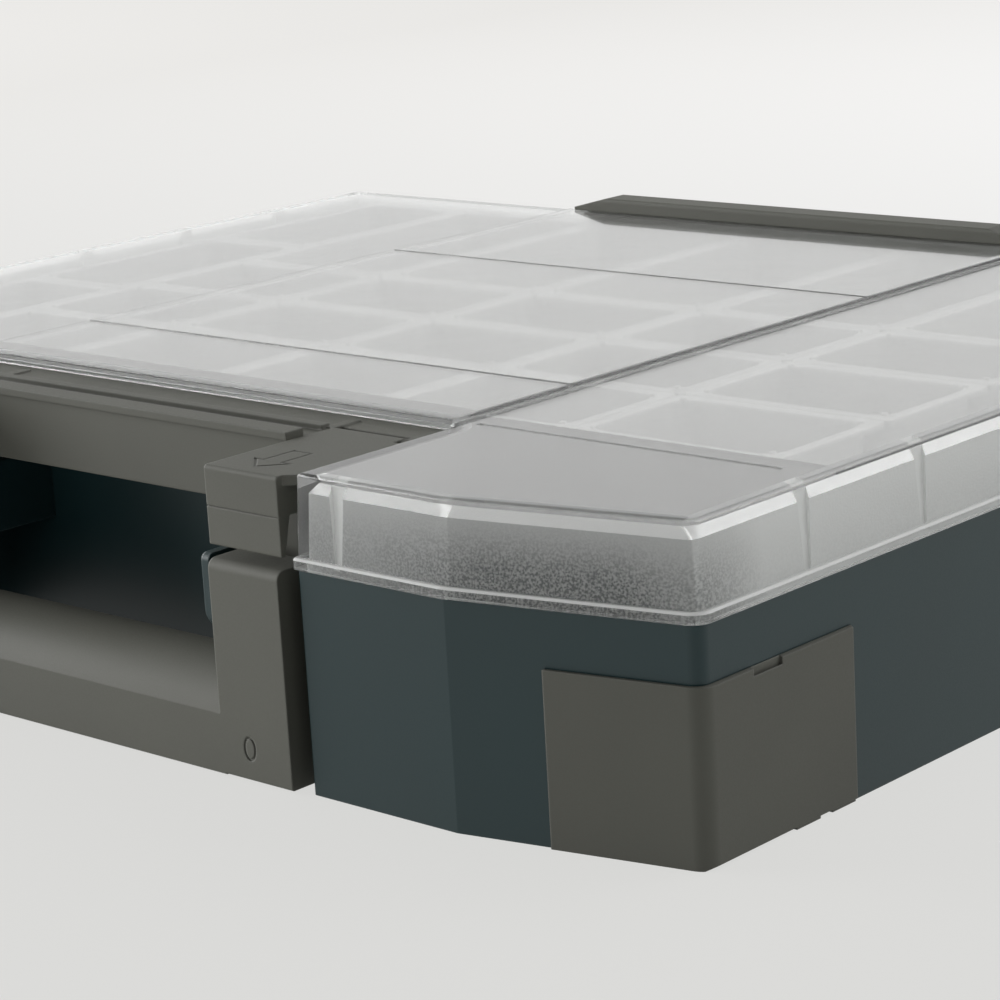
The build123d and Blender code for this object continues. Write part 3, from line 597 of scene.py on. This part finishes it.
def milky_cups(name):
    material, tree, shader = new_material(
        name, {"Transmission Weight": 0.25, "IOR": 1.49, "Coat Weight": 0.6, "Coat Roughness": 0.12})
    grain = place_group(tree, MOULDED_GRAIN)
    edges = place_group(tree, SOFT_EDGE, Radius=CUP_EDGE_RADIUS)
    milk = mix_colours(tree, grain["Drift"], *MILKY_TINTS)
    feed(tree, shader, {
        # The pale rims are a painted highlight.
        "Base Color": mix_colours(tree, edges["Edge"], milk, PAINTED_RIM_HIGHLIGHT),
        "Roughness": spread(tree, grain["Speckle"], low=0.28, high=0.42),
        "Normal": edges["Normal"],
    })
    return material


MILKY_CUPS = milky_cups("milky insert")
print("material:", MILKY_CUPS.name)

# %% [markdown]
# ## Steel pins
# The pins of the hinge, the latches and the handle are drawn wire. A full brushed metal would not be
# seen on ends this small, so a plain metal with specks of sheen does.

# %% Drawn steel
STEEL_TINT = (0.55, 0.55, 0.53, 1.0)


def drawn_steel(name):
    material, tree, shader = new_material(name, {"Metallic": 1.0, "Base Color": STEEL_TINT})
    grain = place_group(tree, MOULDED_GRAIN)
    feed(tree, shader, {"Roughness": spread(tree, grain["Speckle"], low=0.25, high=0.38)})
    return material


DRAWN_STEEL = drawn_steel("drawn steel")
print("material:", DRAWN_STEEL.name)

# %% [markdown]
# ## Dress the pieces
# Each piece could be given its finish by name, but the imported record already says which one it takes, so
# one loop dresses them all. The corner guards get a grey a little darker than the other grey pieces.

# %% Finish on every piece
FINISHES = {
    "tray_teal": TRAY_TEAL,
    "lid_clear": CLEAR_LID,
    "fittings_grey": FITTINGS_GREY,
    "insert_white": MILKY_CUPS,
    "pin_steel": DRAWN_STEEL,
}

for part in frame["record"]["subparts"]:
    piece = NODES[part["node"]]
    guard = part["node"].startswith("corner_guard")
    piece.data.materials.clear()
    piece.data.materials.append(GUARD_GREY if guard else FINISHES[part["material_slot"]])

# %% [markdown]
# ## Floor and light
# A pale floor runs past the picture's edge and makes the plain background. It could be lit white by
# strong lamps, but they would bleach the case too. So the floor is matt to the light that falls on
# it, and keeps the case's shadow, while most of what the camera, gloss and clear plastic see of it is
# a glow of its own. How strong that is depends on the kind of ray, and the sky will use the same sum.

# %% Strength by kind of ray
def strength_by_ray(tree, seen, mirrored, refracted):
    ray = add_node(tree, "ShaderNodeLightPath").outputs
    direct = math_node(tree, "MAXIMUM", product(tree, ray["Is Camera Ray"], seen),
                       product(tree, ray["Is Glossy Ray"], mirrored))
    return math_node(tree, "MAXIMUM", direct, product(tree, ray["Is Transmission Ray"], refracted))


print("rays told apart: camera, glossy, transmission")

# %% [markdown]
# The glow is not the same all over. Near the camera the floor is greyer, and far off it is brighter,
# most of all to the right, as in a studio where a window lights the far end.

# %% Floor
FLOOR_SIZE = 9.0
FLOOR_MATT = (0.78, 0.77, 0.75, 1.0)
FLOOR_ROUGHNESS = 0.6
FLOOR_NEAR = (0.74, 0.74, 0.725, 1.0)
FLOOR_FAR_LEFT = (0.85, 0.84, 0.82, 1.0)
FLOOR_FAR_RIGHT = (1.05, 1.05, 1.05, 1.0)
NEAR_ENDS, FAR_BEGINS = -0.3, 1.2
LEFT_ENDS, RIGHT_BEGINS = -1.2, 0.2
SEEN_GLOW, MIRRORED_GLOW, REFRACTED_GLOW = 0.86, 0.85, 0.45


def pale_floor(name):
    material, tree, shader = new_material(name, {"Base Color": FLOOR_MATT, "Roughness": FLOOR_ROUGHNESS})
    axes = add_node(tree, "ShaderNodeSeparateXYZ", {"Vector": object_place(tree)}).outputs
    away = spread(tree, axes["Y"], NEAR_ENDS, FAR_BEGINS, kind="SMOOTHSTEP")
    across = spread(tree, axes["X"], LEFT_ENDS, RIGHT_BEGINS)
    far_tone = mix_colours(tree, across, FLOOR_FAR_LEFT, FLOOR_FAR_RIGHT)
    glow = add_node(tree, "ShaderNodeEmission", {"Color": mix_colours(tree, away, FLOOR_NEAR, far_tone)})
    share = strength_by_ray(tree, SEEN_GLOW, MIRRORED_GLOW, REFRACTED_GLOW)
    mixed = add_node(tree, "ShaderNodeMixShader",
                     {0: share, 1: shader.outputs["BSDF"], 2: glow.outputs["Emission"]})
    feed(tree, tree.nodes["Material Output"], {"Surface": mixed.outputs["Shader"]})
    return material


bpy.ops.mesh.primitive_plane_add(size=FLOOR_SIZE)
floor = bpy.context.object
floor.name = "floor"
floor.data.materials.append(pale_floor("pale floor"))
print("floor:", FLOOR_SIZE, "m across")

# %% [markdown]
# The sky is an even dim fill from all round. A picture of a real studio could surround the scene, but
# a plain tint keeps the reflections calm. To the camera the sky is about as bright as the far floor,
# so that the floor's end hardly shows. Gloss and clear plastic see less of it, or the lid would turn
# to milk.

# %% Sky
SKY_TINT = (1.0, 0.995, 0.985, 1.0)
FILL = 0.12
SEEN_SKY, MIRRORED_SKY, REFRACTED_SKY = 0.90, 0.30, 0.60

world = bpy.data.worlds.new("studio")
world.use_nodes = True
sky_tree = world.node_tree
bright = strength_by_ray(sky_tree, SEEN_SKY, MIRRORED_SKY, REFRACTED_SKY)
feed(sky_tree, sky_tree.nodes["Background"],
     {"Color": SKY_TINT, "Strength": math_node(sky_tree, "MAXIMUM", bright, FILL)})
bpy.context.scene.world = world
print("sky:", world.name, "with a fill of", FILL)

# %% [markdown]
# The lamps are those of a small studio, five soft boxes: a large one far to the left that grazes the
# front, a wide one behind that the glossy lid mirrors, one over the lid, a moderate one on the right
# for the side, and a small low one in front that looks into the niche. Small strong lamps would give
# the same amount of light, but hard shadows and burnt-out spots on the lid. Large boxes far away give
# soft ones.

# %% Soft boxes
SOFT_BOXES = {
    "left box": {"place": (-2.3, -0.7, 0.75), "aim": (0.05, -0.1, 0.05), "size": (3.0, 1.4), "watts": 80.0},
    "back box": {"place": (-1.6, 2.4, 0.9), "aim": (0.0, 0.0, 0.05), "size": (3.6, 1.6), "watts": 11.0},
    "top box": {"place": (0.35, 1.1, 1.5), "aim": (0.05, 0.0, 0.05), "size": (1.6, 1.4), "watts": 9.0},
    "right box": {"place": (2.1, 1.4, 1.1), "aim": (0.2, 0.0, 0.05), "size": (3.0, 2.0), "watts": 26.0},
    "front box": {"place": (0.0, -1.8, 0.3), "aim": (0.0, -0.1, 0.04), "size": (1.2, 0.5), "watts": 3.5},
}


def soft_box(name, place, aim, size, watts):
    data = bpy.data.lights.new(name, "AREA")
    data.shape = "RECTANGLE"
    data.size, data.size_y = size
    data.energy = watts
    lamp = bpy.data.objects.new(name, data)
    turn = (Vector(aim) - Vector(place)).to_track_quat("-Z", "Y")
    lamp.matrix_world = Matrix.Translation(place) @ turn.to_matrix().to_4x4()
    bpy.context.scene.collection.objects.link(lamp)


for name, settings in SOFT_BOXES.items():
    soft_box(name, **settings)
    print(name, settings["watts"], "W")

# %% [markdown]
# ## Picture settings
# The standard view shows colours as they are written, where a film-like view would grey the whites.

# %% Finish
bpy.context.scene.view_settings.view_transform = "Standard"
